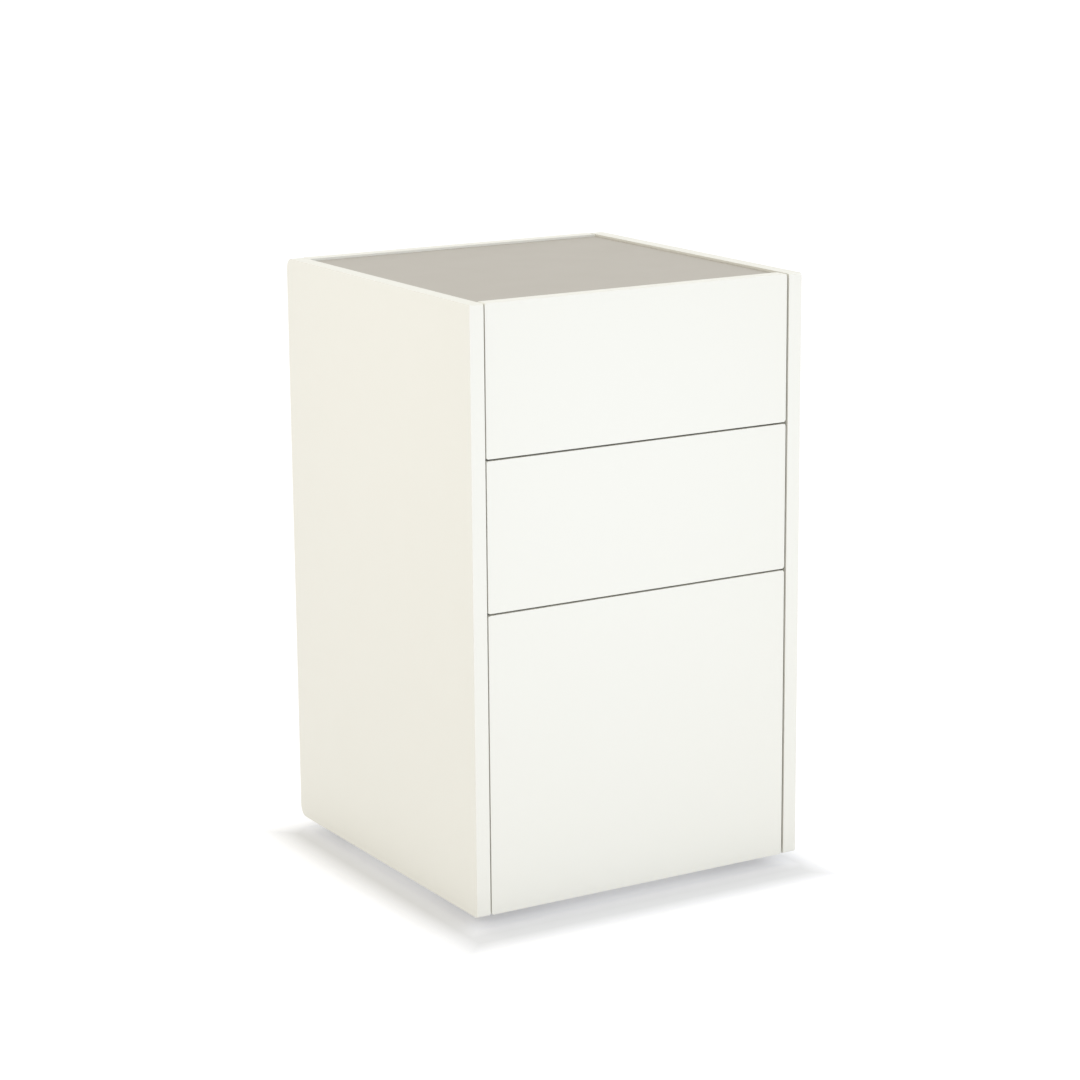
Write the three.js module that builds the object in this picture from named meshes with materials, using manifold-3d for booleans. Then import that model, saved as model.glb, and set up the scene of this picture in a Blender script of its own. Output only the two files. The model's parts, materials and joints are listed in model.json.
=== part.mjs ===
// Rolling pedestal cabinet: three handle-less inset fronts between two full-depth side panels, a level inlay
// in the top, and castors hidden behind the panels. Millimetres, +Z up, with the origin on the floor under the
// middle of the cabinet. The fronts face -Y, and +X is to the right of someone standing in front of them.
import * as THREE from "three";
import { mergeVertices } from "three/addons/utils/BufferGeometryUtils.js";
import Module from "manifold-3d";

const wasm = await Module();
wasm.setup();

// Cabinet
const OPENING_WIDTH = 370; // between the side panels
const BOARD = 16; // thickness of the lacquered boards
const DEPTH = 406;
const PANEL_HEIGHT = 640;
const FLOOR_CLEARANCE = 15; // under every panel and front
const EDGE_RADIUS = 1.2; // eased edges of the lacquered boards
const REAR_CORNER = 10; // rear corners of the side panels
const SMALL_CORNER = 2; // every other corner of the lacquered boards
const TOUCH = 0.3; // gap left where two pieces touch
const BACK_INSET = 6; // back panel behind the side panels' rear edges
const BOTTOM_PANEL_Z = 50; // underside, on the castors
const PUSH_GAP = 3; // between a front's back face and what lies behind it

// Top inlay
const INLAY_RECESS = 2.5; // below the white rim
const INLAY_THICKNESS = 5;

// Fronts
const FRONT_GAP = 2;
const FRONT_SETBACK = 1; // behind the side panels' front edges
const SMALL_FRONT_HEIGHT = 158;
const FILE_FRONT_HEIGHT = 320;

// Drawer boxes
const BOX_SIDE = 12;
const BOX_BOTTOM = 6;
const BOX_LENGTH = 326;
const GROOVE_DEPTH = 6;
const GROOVE_LIFT = 7; // the bottom's groove above the side's lower edge
const SMALL_BOX = { height: 112, slideLift: 34, latchLift: 76 };
const FILE_BOX = { height: 248, slideLift: 60, latchLift: 180 };
const SMALL_BOX_LIFT = 15; // above the front's lower edge
const FILE_BOX_LIFT = 4; // above the bottom panel

// Hanging-file rails. Heights are measured from the drawer side's top edge.
const RAIL = { wall: 1.2, skirt: 8, ribTop: 9, ribHalf: 1.25 };

// Slides
const SLIDE_SPACE = 13; // between box and side panel
const SLIDE_LENGTH = 300;
const STEEL = 1.2;
const CABINET_MEMBER = { from: TOUCH, to: 9.7, halfHeight: 22.7 };
const MIDDLE_MEMBER = { from: 2.6, to: 11, halfHeight: 17.2 };
const DRAWER_MEMBER = { from: 5.4, to: 12.7, halfHeight: 11.7 };

// Push-to-open latches
const HOUSING = { width: 34, height: 22, length: 30.7 };
const PLUNGER = { radius: 5, length: 33, tipRadius: 7.5, tipLength: 4, clearance: 0.3, overrun: 1 };
const PUSH_ROOM = 2.4; // between the plunger's tip and the drawer's back at rest

// Castors
const CASTOR_X = 143;
const CASTOR_Y = 140;
const TRAIL = 16; // the axle behind the king pin
const RUNNING_GAP = 0.3;
const PLATE = { side: 56, corner: 6, thickness: 2.5, holeSpacing: 42, holeRadius: 2.4 };
const RACE = { radius: 15, height: 2.7, root: 0.5 }; // root: how far it reaches into the plate
const KING_PIN = { radius: 4, headRadius: 6.5, headThickness: 1.2 };
const FORK = { halfWidth: 11, steel: 2, crown: 2.5, front: 13, rear: 22, shoulder: 2, eye: 6.5 };
const AXLE = { radius: 3, headRadius: 4.5, headThickness: 1.4, headRoot: 1 };
const WHEEL = { radius: 20, halfWidth: 8, sides: 24, boss: 6.5, bossProud: 0.5, web: 13.5, rim: 14, dish: 3 };
const TREAD_CHAMFER = { radial: 2, axial: 3 };
const TURNED_SIDES = 20;
const AXLE_SIDES = 16;

// Counterweight
const WEIGHT = { width: 300, height: 100, thickness: 22 };

// Planes worked out from these
const INNER_X = OPENING_WIDTH / 2;
const OUTER_X = INNER_X + BOARD;
const FRONT_Y = -DEPTH / 2;
const REAR_Y = DEPTH / 2;
const RIM_Z = FLOOR_CLEARANCE + PANEL_HEIGHT;
const FRONT_FACE_Y = FRONT_Y + FRONT_SETBACK;
const FRONT_BACK_Y = FRONT_FACE_Y + BOARD;
const CARCASS_FRONT_Y = FRONT_BACK_Y + PUSH_GAP;
const BACK_INNER_Y = REAR_Y - BACK_INSET - BOARD;
const BOX_OUTER_X = INNER_X - SLIDE_SPACE;
const BOX_INNER_X = BOX_OUTER_X - BOX_SIDE;
const BOX_REAR_Y = FRONT_BACK_Y + BOX_LENGTH;
const BOTTOM_PANEL_TOP = BOTTOM_PANEL_Z + BOARD;

const FILE_FRONT_Z = FLOOR_CLEARANCE;
const MIDDLE_FRONT_Z = FILE_FRONT_Z + FILE_FRONT_HEIGHT + FRONT_GAP;
const UPPER_FRONT_Z = MIDDLE_FRONT_Z + SMALL_FRONT_HEIGHT + FRONT_GAP;

const FILE_DRAWER = {
  name: "file", frontZ: FILE_FRONT_Z, frontHeight: FILE_FRONT_HEIGHT, boxZ: BOTTOM_PANEL_TOP + FILE_BOX_LIFT,
  box: FILE_BOX,
};
const smallDrawer = (name, frontZ) => (
  { name, frontZ, frontHeight: SMALL_FRONT_HEIGHT, boxZ: frontZ + SMALL_BOX_LIFT, box: SMALL_BOX }
);
const DRAWERS = [smallDrawer("upper", UPPER_FRONT_Z), smallDrawer("middle", MIDDLE_FRONT_Z), FILE_DRAWER];

const material = (color, roughness, metalness) =>
  new THREE.MeshStandardMaterial({ color, roughness, metalness });
const LACQUER = material(0xf7f8f3, 0.4, 0);
const INLAY = material(0xc6c2b9, 0.35, 0);
const MELAMINE = material(0xd9d8d3, 0.6, 0);
const STEEL_ZINC = material(0xb9bcc0, 0.4, 0.9);
const ALUMINIUM = material(0xc9cacb, 0.35, 0.9);
const LATCH_PLASTIC = material(0x8f9193, 0.6, 0);
const PLUNGER_PLASTIC = material(0xe4e4e2, 0.5, 0);
const WHEEL_RUBBER = material(0x6e7072, 0.8, 0);
const WEIGHT_PAINT = material(0x2b2c2e, 0.6, 0.3);

const cabinet = new THREE.Group();
cabinet.name = "rolling_pedestal_cabinet";

// ---- geometry helpers -------------------------------------------------------------------------------------

// Adds a mesh for one sub-part.
function piece(name, geometry, look, parent = cabinet) {
  const mesh = new THREE.Mesh(geometry, look);
  mesh.name = name;
  parent.add(mesh);
  return mesh;
}

function boxGeometry([x0, x1], [y0, y1], [z0, z1]) {
  const geometry = new THREE.BoxGeometry(x1 - x0, y1 - y0, z1 - z0);
  return geometry.translate((x0 + x1) / 2, (y0 + y1) / 2, (z0 + z1) / 2);
}

// A rectangle around the origin. Its corners at +X are rounded by one radius, those at -X by the other.
function roundedRectangle(width, height, radius, farRadius = radius) {
  const [x, y] = [width / 2, height / 2];
  const shape = new THREE.Shape();
  shape.moveTo(x - radius, -y);
  shape.absarc(x - radius, -y + radius, radius, -Math.PI / 2, 0);
  shape.absarc(x - radius, y - radius, radius, 0, Math.PI / 2);
  shape.absarc(-x + farRadius, y - farRadius, farRadius, Math.PI / 2, Math.PI);
  shape.absarc(-x + farRadius, -y + farRadius, farRadius, Math.PI, Math.PI * 1.5);
  shape.closePath();
  return shape;
}

// A board with eased edges: its shape lies in XY and its thickness is centred on Z.
function boardGeometry(shape, thickness) {
  const geometry = new THREE.ExtrudeGeometry(shape, {
    depth: thickness - 2 * EDGE_RADIUS,
    bevelSize: EDGE_RADIUS,
    bevelThickness: EDGE_RADIUS,
    bevelOffset: -EDGE_RADIUS,
    bevelSegments: 2,
    curveSegments: 3,
  });
  return geometry.translate(0, 0, EDGE_RADIUS - thickness / 2);
}

// Faces the board's shape along Y (width to X, height to Z).
function uprightAcross(geometry) {
  return geometry.rotateX(Math.PI / 2);
}

// Faces the board's shape along X (width to Y, height to Z).
function uprightAlong(geometry) {
  return geometry.rotateX(Math.PI / 2).rotateZ(Math.PI / 2);
}

// A straight profile, given as [x, z] points, that runs along Y.
function profileAlongY(points, y0, y1) {
  const shape = new THREE.Shape(points.map(([x, z]) => new THREE.Vector2(x, z)));
  const geometry = new THREE.ExtrudeGeometry(shape, { depth: y1 - y0, bevelEnabled: false });
  return geometry.rotateX(Math.PI / 2).translate(0, y1, 0);
}

// A plate cut from the XY plane, standing on z0.
function plateOnZ(shape, z0, thickness, curveSegments) {
  const geometry = new THREE.ExtrudeGeometry(shape, { depth: thickness, bevelEnabled: false, curveSegments });
  return geometry.translate(0, 0, z0);
}

// A turned piece from [radius, height] points, its axis on Z.
function turned(points, sides) {
  const profile = points.map(([radius, height]) => new THREE.Vector2(radius, height));
  return new THREE.LatheGeometry(profile, sides, Math.PI / sides).rotateX(Math.PI / 2);
}

function toSolid(geometry) {
  const bare = geometry.clone();
  bare.deleteAttribute("uv");
  bare.deleteAttribute("normal");
  const merged = mergeVertices(bare, 1e-4);
  const mesh = new wasm.Mesh({
    numProp: 3,
    vertProperties: Float32Array.from(merged.attributes.position.array),
    triVerts: Uint32Array.from(merged.index.array),
  });
  return new wasm.Manifold(mesh);
}

function fromSolid(solid) {
  const mesh = solid.getMesh();
  const geometry = new THREE.BufferGeometry();
  geometry.setAttribute("position", new THREE.BufferAttribute(mesh.vertProperties, 3));
  geometry.setIndex(new THREE.BufferAttribute(mesh.triVerts, 1));
  geometry.computeVertexNormals();
  return geometry;
}

function joined(...geometries) {
  return fromSolid(geometries.map(toSolid).reduce((sum, solid) => sum.add(solid)));
}

function cut(body, ...tools) {
  return fromSolid(tools.map(toSolid).reduce((rest, tool) => rest.subtract(tool), toSolid(body)));
}

// ---- carcass ----------------------------------------------------------------------------------------------

function addCarcass() {
  const sideShape = roundedRectangle(DEPTH, PANEL_HEIGHT, REAR_CORNER, SMALL_CORNER);
  for (const [side, sign] of [["left", -1], ["right", 1]]) {
    const panel = piece(`${side}_side_panel`, uprightAlong(boardGeometry(sideShape, BOARD)), LACQUER);
    panel.position.set(sign * (OUTER_X - BOARD / 2), 0, FLOOR_CLEARANCE + PANEL_HEIGHT / 2);
  }

  const innerWidth = OPENING_WIDTH - 2 * TOUCH;
  const backShape = roundedRectangle(innerWidth, PANEL_HEIGHT, SMALL_CORNER);
  const back = piece("back_panel", uprightAcross(boardGeometry(backShape, BOARD)), LACQUER);
  back.position.set(0, BACK_INNER_Y + BOARD / 2, FLOOR_CLEARANCE + PANEL_HEIGHT / 2);

  const across = [-innerWidth / 2, innerWidth / 2];
  const along = [CARCASS_FRONT_Y, BACK_INNER_Y - TOUCH];
  const inlayTop = RIM_Z - INLAY_RECESS;
  const inlayUnder = inlayTop - INLAY_THICKNESS;
  piece("bottom_panel", boxGeometry(across, along, [BOTTOM_PANEL_Z, BOTTOM_PANEL_TOP]), MELAMINE);
  const topPanelTop = inlayUnder - TOUCH;
  piece("top_panel", boxGeometry(across, along, [topPanelTop - BOARD, topPanelTop]), MELAMINE);
  const inlayAcross = [across[0] + TOUCH, across[1] - TOUCH];
  piece("top_inlay", boxGeometry(inlayAcross, along, [inlayUnder, inlayTop]), INLAY);
}

function addCounterweight() {
  const rear = BACK_INNER_Y - TOUCH;
  const foot = BOTTOM_PANEL_TOP + TOUCH;
  const geometry = boxGeometry([-WEIGHT.width / 2, WEIGHT.width / 2], [rear - WEIGHT.thickness, rear],
    [foot, foot + WEIGHT.height]);
  piece("counterweight", geometry, WEIGHT_PAINT);
}

// ---- drawers ----------------------------------------------------------------------------------------------

function addFront({ name, frontZ, frontHeight }) {
  const shape = roundedRectangle(OPENING_WIDTH - 2 * FRONT_GAP, frontHeight, SMALL_CORNER);
  const front = piece(`${name}_drawer_front`, uprightAcross(boardGeometry(shape, BOARD)), LACQUER);
  front.position.set(0, FRONT_FACE_Y + BOARD / 2, frontZ + frontHeight / 2);
}

// Sides with a groove for the bottom, a back that stands on the bottom, and the bottom itself.
function addBox({ name, boxZ, box }) {
  const boxFrontY = FRONT_BACK_Y + TOUCH;
  const top = boxZ + box.height;
  const grooveUnder = boxZ + GROOVE_LIFT;
  const bottomUnder = grooveUnder + TOUCH;
  const bottomTop = bottomUnder + BOX_BOTTOM;
  const grooveTop = bottomTop + TOUCH;
  const grooveX = BOX_INNER_X + GROOVE_DEPTH;
  for (const [side, sign] of [["left", -1], ["right", 1]]) {
    const outline = [
      [BOX_OUTER_X, boxZ], [BOX_OUTER_X, top], [BOX_INNER_X, top], [BOX_INNER_X, grooveTop],
      [grooveX, grooveTop], [grooveX, grooveUnder], [BOX_INNER_X, grooveUnder], [BOX_INNER_X, boxZ],
    ].map(([x, z]) => [sign * x, z]);
    piece(`${name}_drawer_${side}_side`, profileAlongY(outline, boxFrontY, BOX_REAR_Y), MELAMINE);
  }
  const reach = grooveX - TOUCH;
  const bottom = boxGeometry([-reach, reach], [boxFrontY, BOX_REAR_Y], [bottomUnder, bottomTop]);
  piece(`${name}_drawer_bottom`, bottom, MELAMINE);
  const half = BOX_INNER_X - TOUCH;
  const back = boxGeometry([-half, half], [BOX_REAR_Y - BOX_SIDE, BOX_REAR_Y], [grooveTop, top]);
  piece(`${name}_drawer_back`, back, MELAMINE);
}

// One member of a slide: a C of sheet steel, open towards the drawer or towards the side panel.
function channel({ from, to, halfHeight }, sign, centreZ, openToPanel) {
  const [web, lip] = openToPanel ? [to, from] : [from, to];
  const inside = openToPanel ? web - STEEL : web + STEEL;
  const outline = [
    [web, -halfHeight], [lip, -halfHeight], [lip, STEEL - halfHeight], [inside, STEEL - halfHeight],
    [inside, halfHeight - STEEL], [lip, halfHeight - STEEL], [lip, halfHeight], [web, halfHeight],
  ].map(([fromPanel, z]) => [sign * (INNER_X - fromPanel), centreZ + z]);
  return profileAlongY(outline, CARCASS_FRONT_Y, CARCASS_FRONT_Y + SLIDE_LENGTH);
}

function addSlides({ name, boxZ, box }) {
  const centreZ = boxZ + box.slideLift;
  for (const [side, sign] of [["left", -1], ["right", 1]]) {
    piece(`${name}_${side}_cabinet_member`, channel(CABINET_MEMBER, sign, centreZ, false), STEEL_ZINC);
    piece(`${name}_${side}_middle_member`, channel(MIDDLE_MEMBER, sign, centreZ, false), STEEL_ZINC);
    piece(`${name}_${side}_drawer_member`, channel(DRAWER_MEMBER, sign, centreZ, true), STEEL_ZINC);
  }
}

// Aluminium rails clipped over the top edges of the file drawer's sides. Folders hang from their ribs.
function addFileRails({ boxZ, box }) {
  const edgeZ = boxZ + box.height;
  const middleX = (BOX_INNER_X + BOX_OUTER_X) / 2;
  const { wall, skirt, ribTop, ribHalf } = RAIL;
  const inner = BOX_SIDE / 2 + TOUCH;
  const outer = inner + wall;
  const shelf = TOUCH + wall;
  const railEndY = BOX_REAR_Y - BOX_SIDE - TOUCH;
  for (const [side, sign] of [["left", -1], ["right", 1]]) {
    const outline = [
      [outer, -skirt], [outer, shelf], [ribHalf, shelf], [ribHalf, ribTop], [-ribHalf, ribTop],
      [-ribHalf, shelf], [-outer, shelf], [-outer, -skirt], [-inner, -skirt], [-inner, TOUCH],
      [inner, TOUCH], [inner, -skirt],
    ].map(([x, z]) => [sign * middleX + x, edgeZ + z]);
    piece(`file_drawer_${side}_rail`, profileAlongY(outline, FRONT_BACK_Y + TOUCH, railEndY), ALUMINIUM);
  }
}

// ---- push-to-open latches ---------------------------------------------------------------------------------

// A housing on the back panel and a plunger that slides in it. Both are turned to lie along Y.
function addLatch({ name, boxZ, box }) {
  const z = boxZ + box.latchLift;
  const rear = BACK_INNER_Y - TOUCH;
  const mouth = rear - HOUSING.length;
  const tipY = BOX_REAR_Y + PUSH_ROOM;
  const plungerEnd = tipY + PLUNGER.length;
  const boreRadius = PLUNGER.radius + PLUNGER.clearance;

  const shell = boxGeometry([-HOUSING.width / 2, HOUSING.width / 2], [mouth, rear],
    [z - HOUSING.height / 2, z + HOUSING.height / 2]);
  const boreStart = mouth - PLUNGER.overrun;
  const boreEnd = plungerEnd + PLUNGER.overrun;
  const boreProfile = [[0, boreStart], [boreRadius, boreStart], [boreRadius, boreEnd], [0, boreEnd]];
  const bore = turned(boreProfile, TURNED_SIDES).rotateX(-Math.PI / 2).translate(0, 0, z);
  piece(`${name}_latch_housing`, cut(shell, bore), LATCH_PLASTIC);

  const rod = turned([
    [0, tipY], [PLUNGER.tipRadius, tipY], [PLUNGER.tipRadius, tipY + PLUNGER.tipLength],
    [PLUNGER.radius, tipY + PLUNGER.tipLength], [PLUNGER.radius, plungerEnd], [0, plungerEnd],
  ], TURNED_SIDES).rotateX(-Math.PI / 2).translate(0, 0, z);
  piece(`${name}_latch_plunger`, rod, PLUNGER_PLASTIC);
}

// ---- castors ----------------------------------------------------------------------------------------------

// Heights of a castor's stack, from the top plate down to the fork.
const PLATE_Z = BOTTOM_PANEL_Z - TOUCH - PLATE.thickness;
const RACE_Z = PLATE_Z - RACE.height;
const FORK_TOP_Z = RACE_Z - RUNNING_GAP;
const FORK_UNDER_Z = FORK_TOP_Z - FORK.crown;

function castorPlateGeometry() {
  const shape = roundedRectangle(PLATE.side, PLATE.side, PLATE.corner);
  const offset = PLATE.holeSpacing / 2;
  for (const [x, y] of [[-1, -1], [1, -1], [1, 1], [-1, 1]]) {
    const hole = new THREE.Path();
    hole.absarc(x * offset, y * offset, PLATE.holeRadius, 0, Math.PI * 2, true);
    shape.holes.push(hole);
  }
  const { radius, headRadius, headThickness } = KING_PIN;
  const headTop = FORK_UNDER_Z - RUNNING_GAP;
  const headUnder = headTop - headThickness;
  const raceTop = PLATE_Z + RACE.root;
  const racewayAndPin = turned([
    [0, headUnder], [headRadius, headUnder], [headRadius, headTop], [radius, headTop], [radius, RACE_Z],
    [RACE.radius, RACE_Z], [RACE.radius, raceTop], [0, raceTop],
  ], TURNED_SIDES);
  return joined(plateOnZ(shape, PLATE_Z, PLATE.thickness, 4), racewayAndPin);
}

// A folded-steel fork with its riveted axle. The king pin's hole is at the origin of XY.
function castorForkGeometry() {
  const { halfWidth, steel, front, rear, shoulder, eye } = FORK;
  const crown = boxGeometry([-halfWidth, halfWidth], [-front, rear], [FORK_UNDER_Z, FORK_TOP_Z]);
  const holeRadius = KING_PIN.radius + RUNNING_GAP;
  const pinHole = turned([[0, 0], [holeRadius, 0], [holeRadius, PLATE_Z], [0, PLATE_Z]], TURNED_SIDES);
  const leg = new THREE.Shape();
  leg.moveTo(-front, FORK_TOP_Z);
  leg.lineTo(-front, FORK_UNDER_Z - shoulder);
  leg.lineTo(TRAIL - eye, WHEEL.radius);
  leg.absarc(TRAIL, WHEEL.radius, eye, Math.PI, Math.PI * 2);
  leg.lineTo(rear, FORK_UNDER_Z - shoulder);
  leg.lineTo(rear, FORK_TOP_Z);
  leg.closePath();
  const legs = [-halfWidth, halfWidth - steel].map((x) =>
    new THREE.ExtrudeGeometry(leg, { depth: steel, bevelEnabled: false, curveSegments: 6 })
      .rotateX(Math.PI / 2).rotateZ(Math.PI / 2).translate(x, 0, 0));
  const { radius, headRadius, headThickness, headRoot } = AXLE;
  const headX = halfWidth + headThickness;
  const rootX = halfWidth - headRoot;
  const axle = turned([
    [0, -headX], [headRadius, -headX], [headRadius, -rootX], [radius, -rootX], [radius, rootX],
    [headRadius, rootX], [headRadius, headX], [0, headX],
  ], AXLE_SIDES).rotateY(Math.PI / 2).translate(0, TRAIL, WHEEL.radius);
  return cut(joined(crown, ...legs, axle), pinHole);
}

// The flat of one side rests on the floor, so the corners stand a little further out than the nominal radius.
function wheelGeometry() {
  const tread = WHEEL.radius / Math.cos(Math.PI / WHEEL.sides);
  const bore = AXLE.radius + RUNNING_GAP;
  const { halfWidth: half, boss, web, rim } = WHEEL;
  const bossEnd = half + WHEEL.bossProud;
  const webFace = half - WHEEL.dish;
  const shoulder = tread - TREAD_CHAMFER.radial;
  const crown = half - TREAD_CHAMFER.axial;
  const profile = [
    [bore, -bossEnd], [boss, -bossEnd], [boss, -webFace], [web, -webFace], [rim, -half], [shoulder, -half],
    [tread, -crown], [tread, crown], [shoulder, half], [rim, half], [web, webFace], [boss, webFace],
    [boss, bossEnd], [bore, bossEnd], [bore, -bossEnd],
  ];
  return turned(profile, WHEEL.sides).rotateY(Math.PI / 2).rotateX(Math.PI / 2);
}

function addCastors() {
  for (const [row, ySign] of [["front", -1], ["rear", 1]]) {
    for (const [side, xSign] of [["left", -1], ["right", 1]]) {
      const castor = new THREE.Group();
      castor.position.set(xSign * CASTOR_X, ySign * CASTOR_Y, 0);
      cabinet.add(castor);
      const name = `${row}_${side}_castor`;
      piece(`${name}_plate`, castorPlateGeometry(), STEEL_ZINC, castor);
      piece(`${name}_fork`, castorForkGeometry(), STEEL_ZINC, castor);
      const wheel = piece(`${name}_wheel`, wheelGeometry(), WHEEL_RUBBER, castor);
      wheel.position.set(0, TRAIL, WHEEL.radius);
    }
  }
}

addCarcass();
addCounterweight();
for (const drawer of DRAWERS) {
  addFront(drawer);
  addBox(drawer);
  addSlides(drawer);
  addLatch(drawer);
}
addFileRails(FILE_DRAWER);
addCastors();

export default cabinet;
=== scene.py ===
import json
import math

import bmesh
import bpy
from mathutils import Matrix, Vector

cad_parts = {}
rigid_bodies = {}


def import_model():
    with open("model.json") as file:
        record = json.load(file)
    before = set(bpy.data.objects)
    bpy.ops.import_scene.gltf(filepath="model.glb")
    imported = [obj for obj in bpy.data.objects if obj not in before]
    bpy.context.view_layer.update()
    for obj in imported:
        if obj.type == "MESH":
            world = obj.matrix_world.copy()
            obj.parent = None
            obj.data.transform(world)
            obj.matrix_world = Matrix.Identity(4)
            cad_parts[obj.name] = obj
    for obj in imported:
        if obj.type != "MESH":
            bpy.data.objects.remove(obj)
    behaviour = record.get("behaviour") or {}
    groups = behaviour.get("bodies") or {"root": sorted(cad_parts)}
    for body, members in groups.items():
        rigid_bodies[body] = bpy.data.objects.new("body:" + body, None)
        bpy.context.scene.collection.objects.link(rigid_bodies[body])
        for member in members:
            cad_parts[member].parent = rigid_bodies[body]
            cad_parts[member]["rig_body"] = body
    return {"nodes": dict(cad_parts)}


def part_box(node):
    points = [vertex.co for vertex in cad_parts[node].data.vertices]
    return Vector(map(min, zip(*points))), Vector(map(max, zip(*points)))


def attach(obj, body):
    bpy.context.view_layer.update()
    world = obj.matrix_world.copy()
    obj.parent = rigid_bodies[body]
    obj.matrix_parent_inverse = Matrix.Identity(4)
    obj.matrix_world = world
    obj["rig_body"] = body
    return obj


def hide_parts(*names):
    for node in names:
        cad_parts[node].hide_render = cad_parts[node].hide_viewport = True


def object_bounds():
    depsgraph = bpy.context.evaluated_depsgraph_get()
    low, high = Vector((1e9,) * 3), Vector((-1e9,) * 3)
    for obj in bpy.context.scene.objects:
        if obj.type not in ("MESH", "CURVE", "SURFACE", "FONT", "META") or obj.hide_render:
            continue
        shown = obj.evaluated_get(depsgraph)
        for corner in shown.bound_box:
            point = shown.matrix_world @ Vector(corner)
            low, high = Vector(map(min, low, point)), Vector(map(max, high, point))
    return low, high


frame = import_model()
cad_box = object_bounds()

MM = 0.001
DRAWERS = ("upper", "middle", "file")
SIDES = (("left", -1), ("right", 1))
CASTORS = tuple(f"{row}_{side}_castor" for row in ("front", "rear") for side in ("left", "right"))

# Lacquered boards
EDGE_RADIUS = 0.8 * MM
REAR_CORNER = 10 * MM
FRONT_CORNER = 2 * MM
EDGE_STEPS = 5

# Which way a face looks, from the part of its normal along an axis
FACES_ALONG = 0.6  # at least this much: it looks along the axis
FACES_ACROSS = 0.1  # at most this much: it looks across the axis

# Drawer boxes. The heights of fittings are shares of the board's height.
GROOVE_PLAY = 0.3 * MM
CAM_FROM_FRONT = 24 * MM
CAM_HEIGHTS = (0.3, 0.8)
BOX_SCREW_HEIGHTS = (0.2, 0.8)
PAD_RADIUS = 9 * MM
PAD_THICKNESS = 0.4 * MM
RAIL_WALL = 1.2 * MM
RAIL_RIB = 2.5 * MM
RAIL_BEAD = 1.6 * MM
RAIL_CAP = 4 * MM

# Slides. Webs and balls are placed by their distance from the side panel.
SHEET = 1.2 * MM
CAGE_SHEET = 0.5 * MM
CABINET_WEB = 0.9 * MM
MIDDLE_WEB = 3.2 * MM
DRAWER_WEB = 12.1 * MM
OUTER_CAGE_WEB = 2.05 * MM
INNER_CAGE_WEB = 5.0 * MM
OUTER_BALLS = (7.0 * MM, 19.35 * MM)  # and their height above and below the slide's middle
INNER_BALLS = (8.2 * MM, 13.85 * MM)
BALL_RADIUS = 2.0 * MM
BALL_PITCH = 11 * MM
CAGE_END = 4 * MM

# Slots in the members' webs: where along the slide, slot length, slot width
CABINET_SLOTS = ((0.16, 0.42, 0.68, 0.9), 12 * MM, 5 * MM)
MIDDLE_SLOTS = ((0.1, 0.3, 0.5, 0.7, 0.9), 22 * MM, 9 * MM)
DRAWER_SLOTS = ((0.08, 0.36, 0.62, 0.88), 9 * MM, 4.6 * MM)
CABINET_SCREWS = (0.16, 0.68, 0.9)
DRAWER_SCREWS = (0.08, 0.62, 0.88)

# Latches
BORE_RADIUS = 5.3 * MM
BORE_DEPTH = 28 * MM
ROD_RADIUS = 5 * MM
LATCH_FLANGE = 2.6 * MM

# Castors
PLATE_SHEET = 2.5 * MM
PLATE_HOLES = 21 * MM  # from the king pin, in X and in Y
PLATE_HOLE_RADIUS = 2.6 * MM
CROWN_SHEET = 2.5 * MM
CROWN_HOLE_RADIUS = 4.3 * MM
LEG_SHEET = 2 * MM
FORK_HALF = 11 * MM
AXLE_EYE = 6.5 * MM
WHEEL_HALF = 8 * MM
WHEEL_RIM = 16 * MM
WHEEL_BOSS = 6.5 * MM
WHEEL_BORE = 3.3 * MM
WHEEL_DISC = 3 * MM  # from the wheel's middle to the face of its disc
TREAD_CROWN = 0.2 * MM

# Screws. The crown's rings are [share of the radius, share of the height].
SCREW_CROWN = ((1.0, 0.0), (1.0, 0.45), (0.93, 0.78), (0.78, 0.96), (0.66, 1.0))
CROSS_CORNERS = 12

# Screw heads: radius, height
PAN_HEAD = (3.6 * MM, 1.9 * MM)
CAM_HEAD = (7.5 * MM, 0.5 * MM)
COUNTERSUNK_HEAD = (3.5 * MM, 0.25 * MM)
PANEL_SCREW_HEAD = (3.4 * MM, 1.0 * MM)
DRAWER_SCREW_HEAD = (3.4 * MM, 1.4 * MM)
CASTOR_SCREW_HEAD = (4.2 * MM, 2.2 * MM)
BOLT_HEAD = (6.5 * MM, 3 * MM)

# Counterweight bolts: shares of the plate's height, and how far out from the middle
BOLT_HEIGHTS = (0.2, 0.8)
BOLT_REACH = 120 * MM


# ---- materials ----

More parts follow.
